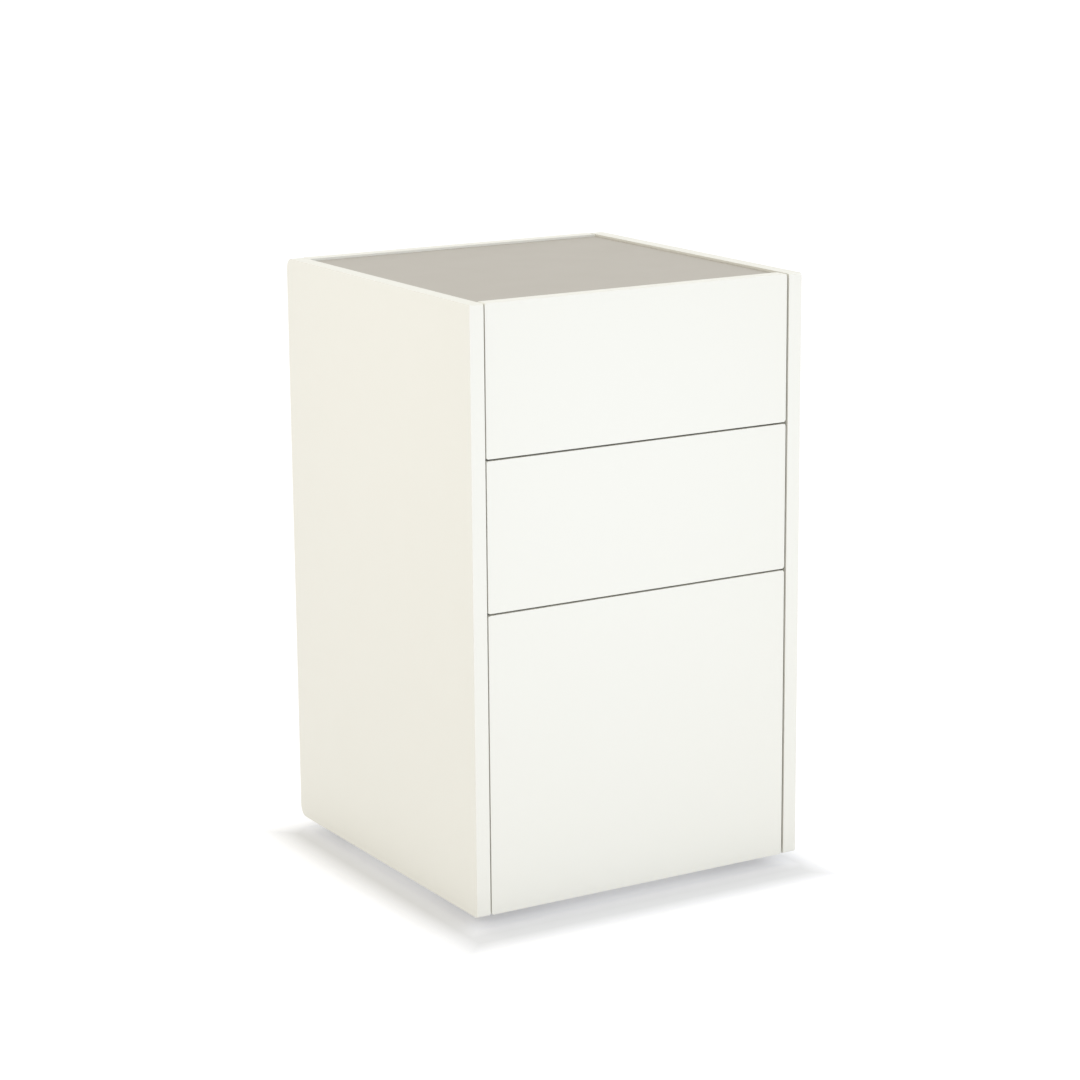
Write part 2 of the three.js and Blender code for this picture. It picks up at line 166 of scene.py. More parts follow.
class Look:
    """A node material with a few helpers for procedural detail in the piece's own coordinates."""

    def __init__(self, name, color, roughness, metallic=0.0):
        self.material = bpy.data.materials.new(name)
        self.material.use_nodes = True
        self.nodes = self.material.node_tree.nodes
        self.links = self.material.node_tree.links
        self.shader = self.nodes["Principled BSDF"]
        self.roughness = roughness
        self.shader.inputs["Base Color"].default_value = (*color, 1)
        self.shader.inputs["Roughness"].default_value = roughness
        self.shader.inputs["Metallic"].default_value = metallic
        self.place = self.nodes.new("ShaderNodeTexCoord").outputs["Object"]

    def set(self, values):
        for name, value in values.items():
            self.shader.inputs[name].default_value = value

    def stretched(self, scale):
        node = self.nodes.new("ShaderNodeMapping")
        node.inputs["Scale"].default_value = scale
        self.links.new(self.place, node.inputs["Vector"])
        return node.outputs["Vector"]

    def noise(self, size, detail=2.0, stretch=(1, 1, 1)):
        """Noise whose features are about that many metres across."""
        node = self.nodes.new("ShaderNodeTexNoise")
        node.inputs["Scale"].default_value = 1.0 / size
        node.inputs["Detail"].default_value = detail
        self.links.new(self.stretched(stretch), node.inputs["Vector"])
        return node.outputs["Fac"]

    def combine(self, operation, *values):
        """The result of a math node. A value is a socket or a float."""
        node = self.nodes.new("ShaderNodeMath")
        node.operation = operation
        for socket, value in zip(node.inputs, values):
            if isinstance(value, float):
                socket.default_value = value
            else:
                self.links.new(value, socket)
        return node.outputs["Value"]

    def ramp(self, value, low, high, a=0.0, b=1.0):
        """Value from low..high remapped to a..b."""
        node = self.nodes.new("ShaderNodeMapRange")
        node.inputs["From Min"].default_value = low
        node.inputs["From Max"].default_value = high
        node.inputs["To Min"].default_value = a
        node.inputs["To Max"].default_value = b
        self.links.new(value, node.inputs["Value"])
        return node.outputs["Result"]

    def tint(self, factor, other):
        """Mixes the colour so far towards another one by factor."""
        node = self.nodes.new("ShaderNodeMix")
        node.data_type = "RGBA"
        base = self.shader.inputs["Base Color"]
        if base.links:
            self.links.new(base.links[0].from_socket, node.inputs["A"])
        else:
            node.inputs["A"].default_value = base.default_value
        node.inputs["B"].default_value = (*other, 1)
        self.links.new(factor, node.inputs["Factor"])
        self.links.new(node.outputs["Result"], base)

    def patches(self, noise, low, high, amount, other):
        """Tints where the noise rises from low to high, by up to amount."""
        self.tint(self.ramp(noise, low, high, 0, amount), other)

    def vary_roughness(self, value, spread):
        varied = self.ramp(value, 0.3, 0.7, self.roughness - spread, self.roughness + spread)
        self.links.new(varied, self.shader.inputs["Roughness"])

    def bump(self, height, depth, strength=1.0):
        """Bump from a 0..1 height, depth metres deep, on top of any bump already there."""
        node = self.nodes.new("ShaderNodeBump")
        node.inputs["Distance"].default_value = depth
        node.inputs["Strength"].default_value = strength
        self.links.new(height, node.inputs["Height"])
        normal = self.shader.inputs["Normal"]
        if normal.links:
            self.links.new(normal.links[0].from_socket, node.inputs["Normal"])
        self.links.new(node.outputs["Normal"], normal)

    def edge(self, amount, other):
        """Tints the eased edges, which mark_edges() marks with the attribute edge."""
        node = self.nodes.new("ShaderNodeAttribute")
        node.attribute_name = "edge"
        self.tint(self.ramp(node.outputs["Fac"], 0, 1, 0, amount), other)


def scaled(color, share):
    return tuple(part * share for part in color)


def lacquer():
    """Satin white spray lacquer: faint orange peel, a trace of mottling, and a painted highlight that
    makes the eased edges lighter.
    """
    look = Look("white_lacquer", (0.709, 0.695, 0.627), 0.38)
    look.set({"Coat Weight": 0.12, "Coat Roughness": 0.3, "Specular IOR Level": 0.45})
    look.patches(look.noise(0.14, 3), 0.35, 0.7, 0.4, (0.699, 0.683, 0.611))
    look.patches(look.noise(0.0011, 2), 0.5, 0.8, 0.08, (0.675, 0.661, 0.591))
    # Painted highlight: the eased edges are tinted lighter
    look.edge(0.8, (0.79, 0.788, 0.745))
    look.vary_roughness(look.noise(0.035, 4), 0.04)
    look.bump(look.noise(0.0042, 2), 0.00002, 0.5)
    look.bump(look.noise(0.0009, 2), 0.000005, 0.4)
    return look.material


def lacquer_rim():
    """The narrow faces of the drawer fronts, where the coat is thinner and a little yellower."""
    look = Look("white_lacquer_rim", (0.715, 0.703, 0.637), 0.42)
    look.set({"Specular IOR Level": 0.4})
    look.patches(look.noise(0.02, 3), 0.35, 0.7, 0.5, (0.69, 0.675, 0.605))
    look.vary_roughness(look.noise(0.01, 3), 0.05)
    look.bump(look.noise(0.0012, 2), 0.000008, 0.4)
    return look.material


def inlay():
    """Back-painted glass, warm grey and very even, with the fine grain of an etched face."""
    look = Look("grey_inlay", (0.545, 0.459, 0.4), 0.42)
    look.set({"Specular IOR Level": 0.4})
    look.patches(look.noise(0.25, 2), 0.3, 0.75, 0.4, (0.537, 0.451, 0.392))
    look.patches(look.noise(0.0007, 2), 0.5, 0.85, 0.06, (0.555, 0.474, 0.415))
    look.edge(0.6, (0.3, 0.31, 0.28))
    look.vary_roughness(look.noise(0.05, 4), 0.015)
    look.bump(look.noise(0.0005, 2), 0.000002, 0.4)
    return look.material


def melamine(name, color, speck):
    """Melamine-faced board: a fine pebbled press texture and sparse specks."""
    look = Look(name, color, 0.5)
    look.patches(look.noise(0.03, 4), 0.35, 0.7, 0.6, scaled(color, 0.95))
    look.patches(look.noise(0.0013, 1), 0.66, 0.74, 0.5, speck)
    look.vary_roughness(look.noise(0.02, 3), 0.06)
    look.bump(look.noise(0.0009, 3), 0.00004, 0.5)
    look.edge(0.5, scaled(color, 1.04))
    return look.material


def edge_band(name, color):
    """Smooth plastic edge banding with faint scrape marks along the board."""
    look = Look(name, color, 0.36)
    look.patches(look.noise(0.01, 4, (1, 0.1, 1)), 0.4, 0.7, 0.4, scaled(color, 0.93))
    look.vary_roughness(look.noise(0.004, 3, (1, 0.1, 1)), 0.08)
    look.bump(look.noise(0.0006, 2, (1, 0.08, 1)), 0.00001, 0.4)
    return look.material


def steel(name, color, roughness, along=(1, 0.03, 1)):
    """Zinc-plated steel: rolling marks along the strip, cloudy plating and a few dull spots."""
    look = Look(name, color, roughness, 1.0)
    look.patches(look.noise(0.012, 5), 0.35, 0.7, 0.6, scaled(color, 0.82))
    look.patches(look.noise(0.0035, 3), 0.62, 0.8, 0.35, (0.78, 0.77, 0.7))
    look.vary_roughness(look.noise(0.004, 4, along), 0.1)
    look.bump(look.noise(0.0006, 3, along), 0.000012, 0.5)
    return look.material


def anodised():
    """Anodised aluminium with fine die lines along the extrusion."""
    look = Look("aluminium", (0.74, 0.745, 0.75), 0.32, 1.0)
    look.patches(look.noise(0.0015, 3, (1, 0.005, 1)), 0.4, 0.7, 0.5, (0.64, 0.645, 0.65))
    look.vary_roughness(look.noise(0.001, 3, (1, 0.01, 1)), 0.07)
    look.bump(look.noise(0.0004, 2, (1, 0.004, 1)), 0.000012, 0.6)
    return look.material


def plastic(name, color, roughness=0.5):
    """Moulded plastic with a spark-eroded grain and slightly polished high spots."""
    look = Look(name, color, roughness)
    look.patches(look.noise(0.008, 4), 0.4, 0.75, 0.5, scaled(color, 0.86))
    look.vary_roughness(look.noise(0.003, 3), 0.09)
    look.bump(look.noise(0.0006, 3), 0.00003, 0.6)
    return look.material


def rubber():
    """Soft grey tread: matt, with dust in its grain."""
    look = Look("grey_rubber", (0.115, 0.118, 0.122), 0.78)
    look.patches(look.noise(0.006, 5), 0.45, 0.75, 0.5, (0.2, 0.195, 0.185))
    look.patches(look.noise(0.0008, 2), 0.55, 0.75, 0.4, (0.27, 0.26, 0.245))
    look.vary_roughness(look.noise(0.003, 3), 0.1)
    look.bump(look.noise(0.0007, 3), 0.00006, 0.6)
    return look.material


def powder_coat():
    """Black structured powder coat."""
    look = Look("black_steel", (0.022, 0.022, 0.024), 0.55)
    look.set({"Specular IOR Level": 0.45})
    look.patches(look.noise(0.01, 4), 0.4, 0.75, 0.6, (0.04, 0.04, 0.042))
    look.vary_roughness(look.noise(0.003, 3), 0.1)
    look.bump(look.noise(0.0012, 2), 0.00008, 0.7)
    return look.material


LACQUER = lacquer()
LACQUER_RIM = lacquer_rim()
INLAY = inlay()
CARCASS = melamine("carcass_board", (0.82, 0.82, 0.785), (0.74, 0.74, 0.7))
DRAWER = melamine("drawer_board", (0.67, 0.665, 0.635), (0.5, 0.495, 0.47))
DRAWER_EDGE = edge_band("drawer_edge_band", (0.71, 0.705, 0.675))
CARCASS_EDGE = edge_band("carcass_edge_band", (0.84, 0.84, 0.805))
ZINC = steel("zinc_steel", (0.66, 0.67, 0.68), 0.34)
STAMPED = steel("stamped_steel", (0.62, 0.63, 0.64), 0.38, (1, 1, 1))
BALL_STEEL = steel("ball_steel", (0.8, 0.8, 0.81), 0.14, (1, 1, 1))
ALUMINIUM = anodised()
POWDER = powder_coat()
GREY_PLASTIC = plastic("grey_plastic", (0.27, 0.275, 0.285))
WHITE_PLASTIC = plastic("white_plastic", (0.78, 0.78, 0.76), 0.42)
HUB_PLASTIC = plastic("hub_plastic", (0.3, 0.3, 0.305), 0.45)
RUBBER = rubber()


# ---- mesh helpers ----

SHARP_ANGLE = math.radians(34)


def finish_mesh(name, bm, body, looks, nodes=()):
    """Turns a bmesh into a piece that rides on a body, smooth except at its creases."""
    bmesh.ops.remove_doubles(bm, verts=bm.verts, dist=1e-7)
    bmesh.ops.recalc_face_normals(bm, faces=bm.faces)
    mesh = bpy.data.meshes.new(name)
    bm.to_mesh(mesh)
    bm.free()
    mesh.polygons.foreach_set("use_smooth", [True] * len(mesh.polygons))
    mesh.set_sharp_from_angle(angle=SHARP_ANGLE)
    for look in looks:
        mesh.materials.append(look)
    piece = bpy.data.objects.new(name, mesh)
    bpy.context.scene.collection.objects.link(piece)
    weighted = piece.modifiers.new("flat_faces", "WEIGHTED_NORMAL")
    weighted.keep_sharp = True
    weighted.weight = 100
    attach(piece, body)
    if nodes:
        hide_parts(*nodes)
    return piece


def body_of_node(node):
    return frame["nodes"][node]["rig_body"]


def centre_of(node):
    low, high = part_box(node)
    return (low + high) / 2


def outline(width, height, radius, steps=6, far_radius=None):
    """A rounded rectangle as [x, y] points around the origin.

    Its corners at -x may have a radius of their own.
    """
    points = []
    for turn, (sx, sy) in enumerate(((1, -1), (1, 1), (-1, 1), (-1, -1))):
        bend = radius if sx > 0 or far_radius is None else far_radius
        centre = (sx * (width / 2 - bend), sy * (height / 2 - bend))
        for step in range(steps + 1):
            angle = math.radians(-90 + 90 * turn + 90 * step / steps)
            x = centre[0] + bend * math.cos(angle)
            y = centre[1] + bend * math.sin(angle)
            points.append((x, y))
    return points


def prism(bm, points, place, thickness):
    """Extrudes a closed outline and returns the faces, the two ends first.

    place(u, v, w) gives the point for outline u, v at depth w.
    """
    low = [bm.verts.new(place(u, v, 0)) for u, v in points]
    high = [bm.verts.new(place(u, v, thickness)) for u, v in points]
    count = len(points)
    faces = [bm.faces.new(low[::-1]), bm.faces.new(high)]
    for i in range(count):
        j = (i + 1) % count
        faces.append(bm.faces.new((low[i], low[j], high[j], high[i])))
    return faces


def rim_edges(faces):
    """The edges around both end faces of a prism."""
    return list({edge for face in faces[:2] for edge in face.edges})


def ease(bm, edges, radius, steps):
    """Rounds edges and returns the new faces."""
    result = bmesh.ops.bevel(bm, geom=edges, offset=radius, offset_type="OFFSET",
                             segments=steps, profile=0.5, affect="EDGES", clamp_overlap=True)
    return result["faces"]


def edge_layer(bm):
    """Adds the vertex attribute that the looks read as edge."""
    bm.verts.layers.float.new("edge")


def mark_edges(bm, faces):
    layer = bm.verts.layers.float["edge"]
    for face in faces:
        for vert in face.verts:
            vert[layer] = 1.0


def axes_of(thin):
    """(u, v, w) axis numbers of a board that is thin along axis w, in right-handed order."""
    return ((thin + 1) % 3, (thin + 2) % 3, thin)


def placed(low, u_axis, v_axis, w_axis, middle):
    """A place function for prism: outlines centred on the board, depth from its low face."""
    def place(u, v, w):
        point = Vector((0, 0, 0))
        point[u_axis] = middle[u_axis] + u
        point[v_axis] = middle[v_axis] + v
        point[w_axis] = low[w_axis] + w
        return point
    return place


def board_mesh(low, high, corner, radius, steps=EDGE_STEPS, far_corner=None):
    """A board with rounded corners in its face and eased edges round both faces."""
    size = high - low
    thin = min(range(3), key=lambda axis: size[axis])
    u, v, w = axes_of(thin)
    bm = bmesh.new()
    edge_layer(bm)
    points = outline(size[u], size[v], corner, 8, far_corner)
    faces = prism(bm, points, placed(low, u, v, w, (low + high) / 2), size[w])
    mark_edges(bm, ease(bm, rim_edges(faces), radius, steps))
    return bm


def slab(node, looks, radius=0.5 * MM, corner=0.8 * MM, banded=None, name=None):
    """Replaces a plain CAD board. banded is the [axis, sign] edge that carries the second look."""
    low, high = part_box(node)
    bm = board_mesh(low, high, corner, radius, 3)
    if banded:
        axis, sign = banded
        for face in bm.faces:
            if face.normal[axis] * sign > FACES_ALONG:
                face.material_index = 1
    finish_mesh(name or f"{node}_board", bm, body_of_node(node), looks, [node])


def lathe(bm, profile, centre, axis, steps=32):
    """Turns [radius, height] points round an axis through centre. A radius of 0 closes on the axis."""
    direction = Vector(axis).normalized()
    turn = direction.to_track_quat("Z", "Y").to_matrix()
    centre = Vector(centre)
    rings = []
    for radius, height in profile:
        if radius < 1e-9:
            rings.append([bm.verts.new(centre + direction * height)])
            continue
        ring = []
        for step in range(steps):
            angle = 2 * math.pi * step / steps
            offset = Vector((radius * math.cos(angle), radius * math.sin(angle), height))
            ring.append(bm.verts.new(centre + turn @ offset))
        rings.append(ring)
    for one, two in zip(rings, rings[1:]):
        for step in range(steps):
            after = (step + 1) % steps
            corners = [one[step % len(one)], one[after % len(one)],
                       two[after % len(two)], two[step % len(two)]]
            corners = list(dict.fromkeys(corners))
            if len(corners) > 2:
                bm.faces.new(corners)


def ring_profile(points):
    """Closes a lathe profile that doesn't reach the axis."""
    return [*points, points[0]]


def strip_outline(path, thickness):
    """A closed outline that follows an open centreline at half the thickness on each side."""
    left, right = [], []
    for i, point in enumerate(path):
        before = path[max(i - 1, 0)]
        after = path[min(i + 1, len(path) - 1)]
        along = Vector((after[0] - before[0], after[1] - before[1])).normalized()
        across = Vector((-along.y, along.x)) * thickness / 2
        left.append((point[0] + across.x, point[1] + across.y))
        right.append((point[0] - across.x, point[1] - across.y))
    return left + right[::-1]


def arc(centre, radius, start, end, steps=5):
    """Points along an arc, from start to end in degrees."""
    points = []
    for step in range(steps + 1):
        angle = math.radians(start + (end - start) * step / steps)
        x = centre[0] + radius * math.cos(angle)
        y = centre[1] + radius * math.sin(angle)
        points.append((x, y))
    return points


def rod_profile(radius, start, end):
    """A lathe profile for a plain cylinder."""
    return [(0, start), (radius, start), (radius, end), (0, end)]


def mirrored(path):
    """The path and its mirror image below the first axis, as one path from bottom to top."""
    return [(a, -b) for a, b in reversed(path)] + path


def cutaway(piece, cutter_bm):
    """Cuts the cutter's shape out of a piece and keeps the result as its mesh."""
    bmesh.ops.recalc_face_normals(cutter_bm, faces=cutter_bm.faces)
    mesh = bpy.data.meshes.new("cutter")
    cutter_bm.to_mesh(mesh)
    cutter_bm.free()
    cutter = bpy.data.objects.new("cutter", mesh)
    bpy.context.scene.collection.objects.link(cutter)
    cut = piece.modifiers.new("cut", "BOOLEAN")
    cut.object = cutter
    cut.operation = "DIFFERENCE"
    cut.solver = "EXACT"
    shading = piece.modifiers["flat_faces"]
    shading.show_viewport = False
    bpy.context.view_layer.update()
    evaluated = piece.evaluated_get(bpy.context.evaluated_depsgraph_get())
    result = bpy.data.meshes.new_from_object(evaluated)
    shading.show_viewport = True
    piece.modifiers.remove(cut)
    piece.data = result
    result.set_sharp_from_angle(angle=SHARP_ANGLE)
    bpy.data.objects.remove(cutter)


def screw(bm, centre, axis, head, turned):
    """A screw head with a cross recess, standing on centre, facing along axis and turned about it."""
    radius, height = head
    direction = Vector(axis).normalized()
    turn = direction.to_track_quat("Z", "Y").to_matrix() @ Matrix.Rotation(turned, 3, "Z")
    centre = Vector(centre)

    def ring(points, level):
        return [bm.verts.new(centre + turn @ Vector((x, y, level))) for x, y in points]

    sides = 2 * CROSS_CORNERS
    rings = []
    for across, up in SCREW_CROWN:
        circle = [(radius * across * math.cos(2 * math.pi * i / sides),
                   radius * across * math.sin(2 * math.pi * i / sides)) for i in range(sides)]
        rings.append(ring(circle, height * up))
    long, wide = 0.5 * radius, 0.13 * radius
    cross = []
    for quarter in range(4):
        spin = Matrix.Rotation(math.pi / 2 * quarter, 2)
        for point in ((wide, -wide), (long, -wide), (long, wide)):
            cross.append(tuple(spin @ Vector(point)))
    recess = min(0.35 * radius, 1.2 * height)
    top = ring(cross, height)
    deep = ring([(0.8 * x, 0.8 * y) for x, y in cross], height - recess)
    bm.faces.new(rings[0][::-1])
    for one, two in zip(rings, rings[1:]):
        for i in range(sides):
            bm.faces.new((one[i], one[(i + 1) % sides], two[(i + 1) % sides], two[i]))
    for i in range(CROSS_CORNERS):
        # Each recess corner joins two steps of the crown's upper ring.
        rim = [rings[-1][(2 * i - 2 + k) % sides] for k in range(3)]
        after = (i + 1) % CROSS_CORNERS
        bm.faces.new((rim[0], rim[1], top[i]))
        bm.faces.new((rim[1], rim[2], top[i]))
        bm.faces.new((rim[2], top[after], top[i]))
        bm.faces.new((top[i], top[after], deep[after], deep[i]))
    bm.faces.new(deep)


def screws(name, places, head, body, look=ZINC):
    """One piece holding several screw heads, each turned its own way. places lists [centre, axis]."""
    bm = bmesh.new()
    for count, (centre, axis) in enumerate(places):
        screw(bm, centre, axis, head, 0.4 + 1.1 * count)
    finish_mesh(name, bm, body, [look])


# ---- lacquered boards and the inlay ----

def lacquered(node, corner, far_corner=None):
    low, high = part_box(node)
    bm = board_mesh(low, high, corner, EDGE_RADIUS, EDGE_STEPS, far_corner)
    finish_mesh(f"{node}_lacquered", bm, body_of_node(node), [LACQUER], [node])


def drawer_front(name):
    """A lacquered front with yellower narrow faces, except for the upper front's top edge."""
    node = f"{name}_drawer_front"
    low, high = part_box(node)
    bm = board_mesh(low, high, FRONT_CORNER, EDGE_RADIUS)
    bm.normal_update()
    for face in bm.faces:
        shows = name == DRAWERS[0] and face.normal.z > FACES_ALONG
        if abs(face.normal.y) < FACES_ACROSS and not shows:
            face.material_index = 1
    looks = [LACQUER, LACQUER_RIM]
    finish_mesh(f"{node}_lacquered", bm, f"{name}_drawer", looks, [node])


def make_carcass():
    for side, _ in SIDES:
        lacquered(f"{side}_side_panel", REAR_CORNER, FRONT_CORNER)
    lacquered("back_panel", FRONT_CORNER)
    for name in DRAWERS:
        drawer_front(name)
    slab("top_inlay", [INLAY], 0.4 * MM, 0.6 * MM, name="top_inlay_glass")
    for node in ("top_panel", "bottom_panel"):
        slab(node, [CARCASS, CARCASS_EDGE], banded=(1, -1))


# ---- drawer boxes ----

def grooved_side(name, side, sign):
    """A drawer side with its groove for the bottom, edge banding on top and two cam fittings."""
    node = f"{name}_drawer_{side}_side"
    body = body_of_node(node)
    low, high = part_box(node)
    floor_low, floor_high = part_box(f"{name}_drawer_bottom")
    inner, outer = (high.x, low.x) if sign < 0 else (low.x, high.x)
    groove = (floor_high.x + GROOVE_PLAY) * sign
    groove_low = floor_low.z - GROOVE_PLAY
    groove_high = floor_high.z + GROOVE_PLAY
    points = [(outer, low.z), (outer, high.z), (inner, high.z), (inner, groove_high),
              (groove, groove_high), (groove, groove_low), (inner, groove_low), (inner, low.z)]
    bm = bmesh.new()
    edge_layer(bm)
    faces = prism(bm, points, lambda u, v, w: Vector((u, low.y + w, v)), high.y - low.y)
    corners = [edge for edge in bm.edges if any(
        abs(vert.co.z - level) < 1e-6 for level in (low.z, high.z) for vert in edge.verts)]
    mark_edges(bm, ease(bm, list(set(corners + rim_edges(faces))), 0.5 * MM, 3))
    bm.normal_update()
    for face in bm.faces:
        on_top = face.calc_center_median().z > high.z - 1 * MM
        if on_top and face.normal.z > FACES_ALONG:
            face.material_index = 1
    finish_mesh(f"{node}_board", bm, body, [DRAWER, DRAWER_EDGE], [node])

    places = [((inner, low.y + CAM_FROM_FRONT, low.z + share * (high.z - low.z)), (-sign, 0, 0))
              for share in CAM_HEIGHTS]
    screws(f"{node}_cams", places, CAM_HEAD, body, STAMPED)


def make_drawers():
    for name in DRAWERS:
        body = f"{name}_drawer"
        for side, sign in SIDES:
            grooved_side(name, side, sign)
        slab(f"{name}_drawer_bottom", [DRAWER], 0.3 * MM)
        slab(f"{name}_drawer_back", [DRAWER, DRAWER_EDGE], banded=(2, 1))
        make_box_screws(name, body)
        make_strike_pad(name, body)
    for side, sign in SIDES:
        make_file_rail(side, sign)


def make_box_screws(name, body):
    """Countersunk screws through the sides into the back."""
    back_low, back_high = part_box(f"{name}_drawer_back")
    places = []
    for side, sign in SIDES:
        low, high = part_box(f"{name}_drawer_{side}_side")
        outer = high.x if sign > 0 else low.x
        for share in BOX_SCREW_HEIGHTS:
            z = back_low.z + share * (back_high.z - back_low.z)
            places.append(((outer, (back_low.y + back_high.y) / 2, z), (sign, 0, 0)))
    screws(f"{name}_drawer_box_screws", places, COUNTERSUNK_HEAD, body)


def make_strike_pad(name, body):
    """The thin steel disc on the drawer's back that the latch plunger pushes on."""
    plunger = centre_of(f"{name}_latch_plunger")
    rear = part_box(f"{name}_drawer_back")[1].y
    profile = [(0, 0), (PAD_RADIUS, 0), (PAD_RADIUS, 0.25 * MM),
               (PAD_RADIUS - 0.2 * MM, PAD_THICKNESS), (0, PAD_THICKNESS)]
    bm = bmesh.new()
    lathe(bm, profile, (plunger.x, rear, plunger.z), (0, 1, 0))
    finish_mesh(f"{name}_strike_pad", bm, body, [STAMPED])


def make_file_rail(side, sign):
    """An aluminium profile clipped over the drawer side's top edge, with end caps."""
    node = f"file_drawer_{side}_rail"
    low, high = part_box(node)
    centre = (low.x + high.x) / 2
    half = (high.x - low.x) / 2
    inside = half - RAIL_WALL
    chamfer, fillet = 0.4 * MM, 0.8 * MM
    rib = RAIL_RIB / 2
    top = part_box(f"file_drawer_{side}_side")[1].z + 0.3 * MM
    shelf = top + RAIL_WALL
    right = [(half, low.z), (half, shelf - chamfer), (half - chamfer, shelf),
             (rib + fillet, shelf), (rib, shelf + fillet), (rib, high.z - 2.4 * MM)]
    right += arc((0, high.z - RAIL_BEAD), RAIL_BEAD, -32, 90, 6)
    left = [(-u, v) for u, v in reversed(right[:-1])]
    inner = [(-inside, low.z), (-inside, top), (inside, top), (inside, low.z)]
    points = [(centre + u, v) for u, v in right + left + inner]
    bm = bmesh.new()
    prism(bm, points, lambda u, v, w: Vector((u, low.y + w, v)), high.y - low.y)
    finish_mesh(f"{node}_profile", bm, "file_drawer", [ALUMINIUM], [node])

    cap = outline(RAIL_RIB + 2.4 * MM, high.z - shelf - 0.6 * MM, 1.2 * MM)
    middle = (high.z + shelf) / 2
    for end, y in (("front", low.y), ("rear", high.y - RAIL_CAP)):
        bm = bmesh.new()
        faces = prism(bm, cap, lambda u, v, w: Vector((centre + u, y + w, middle + v)), RAIL_CAP)
        ease(bm, rim_edges(faces), 0.4 * MM, 2)
        finish_mesh(f"{node}_{end}_cap", bm, "file_drawer", [GREY_PLASTIC])


# ---- slides ----

def cabinet_section():
    """The outer member: flanges that curl round the outer balls. Paths are the sheet's middle."""
    flange, bend, curl = 22.1 * MM, 2.3 * MM, 2.5 * MM
    path = [(CABINET_WEB, 0), (CABINET_WEB, flange - bend)]
    path += arc((CABINET_WEB + bend, flange - bend), bend, 180, 90)
    path += arc((OUTER_BALLS[0] - 0.2 * MM, flange - curl), curl, 90, 12, 7)
    return mirrored(path)


def middle_section():
    """The middle member: straight flanges between the outer and the inner balls."""
    flange, bend = 16.6 * MM, 2 * MM
    path = [(MIDDLE_WEB, 0), (MIDDLE_WEB, flange - bend)]
    path += arc((MIDDLE_WEB + bend, flange - bend), bend, 180, 90)
    path += [(10.3 * MM, flange)]
    return mirrored(path)


def drawer_section():
    """The inner member: flanges that curl round the inner balls from inside."""
    flange, bend, curl = 11.1 * MM, 2 * MM, 1.6 * MM
    path = [(DRAWER_WEB, 0), (DRAWER_WEB, flange - bend)]
    path += arc((DRAWER_WEB - bend, flange - bend), bend, 0, 90)
    path += arc((7.2 * MM, flange - curl), curl, 90, 175, 6)
    return mirrored(path)


def cage_section(balls, web):
    """A retainer strip: a web between the members and two flanges that hold the balls."""
    bend = 1 * MM
    path = [(web, 0), (web, balls[1] - bend)]
    path += arc((web + bend, balls[1] - bend), bend, 180, 90, 4)
    path += [(balls[0] + 2.6 * MM, balls[1])]
    return mirrored(path)


class SlideFrame:
    """Where one slide is: its middle height, its ends, and x for a distance from the panel."""

    def __init__(self, name, side, sign):
        low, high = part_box(f"{name}_{side}_cabinet_member")
        panel_low, panel_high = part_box(f"{side}_side_panel")
        self.name, self.side, self.sign = name, side, sign
        self.panel = panel_low.x if sign > 0 else panel_high.x
        self.z = (low.z + high.z) / 2
        self.front, self.rear = low.y, high.y

    def x(self, distance):
        return self.panel - self.sign * distance

    def along(self, share):
        return self.front + share * (self.rear - self.front)

    def extruded(self, path, thickness, front=None, rear=None):
        front = self.front if front is None else front
        rear = self.rear if rear is None else rear
        bm = bmesh.new()
        points = [(self.x(s), self.z + z) for s, z in strip_outline(path, thickness)]
        prism(bm, points, lambda u, v, w: Vector((u, front + w, v)), rear - front)
        return bm


def oval_cutter(bm, slide, distance, y, length, width):
    """A prism across the web, for a slot of that length along Y."""
    depth = 4 * MM
    points = outline(length, width, width / 2 - 1e-6, 5)
    start = slide.x(distance) - depth / 2
    prism(bm, points, lambda u, v, w: Vector((start + w, y + u, slide.z + v)), depth)


def make_member(slide, kind, body, section, web, slots):
    node = f"{slide.name}_{slide.side}_{kind}_member"
    member = slide.extruded(section, SHEET)
    rail = finish_mesh(f"{node}_rail", member, body, [ZINC], [node])
    shares, length, width = slots
    cutters = bmesh.new()
    for share in shares:
        oval_cutter(cutters, slide, web, slide.along(share), length, width)
    cutaway(rail, cutters)


def make_slide(name, side, sign):
    slide = SlideFrame(name, side, sign)
    make_member(slide, "cabinet", "cabinet", cabinet_section(), CABINET_WEB, CABINET_SLOTS)
    make_member(slide, "middle", f"{name}_slide_middle", middle_section(), MIDDLE_WEB, MIDDLE_SLOTS)
    make_member(slide, "drawer", f"{name}_drawer", drawer_section(), DRAWER_WEB, DRAWER_SLOTS)
    make_slide_screws(slide)
    make_cages(slide)
    make_stops(slide)


def make_slide_screws(slide):
    """Screws that hold the cabinet member to the side panel and the drawer member to the drawer."""
    name = f"{slide.name}_{slide.side}"
    inward, outward = (-slide.sign, 0, 0), (slide.sign, 0, 0)
    panel_x = slide.x(CABINET_WEB + SHEET / 2)
    box_x = slide.x(DRAWER_WEB - SHEET / 2)
    into_panel = [((panel_x, slide.along(share), slide.z), inward) for share in CABINET_SCREWS]
    into_box = [((box_x, slide.along(share), slide.z), outward) for share in DRAWER_SCREWS]
    screws(f"{name}_cabinet_member_screws", into_panel, PANEL_SCREW_HEAD, "cabinet")
    screws(f"{name}_drawer_member_screws", into_box, DRAWER_SCREW_HEAD, f"{slide.name}_drawer")


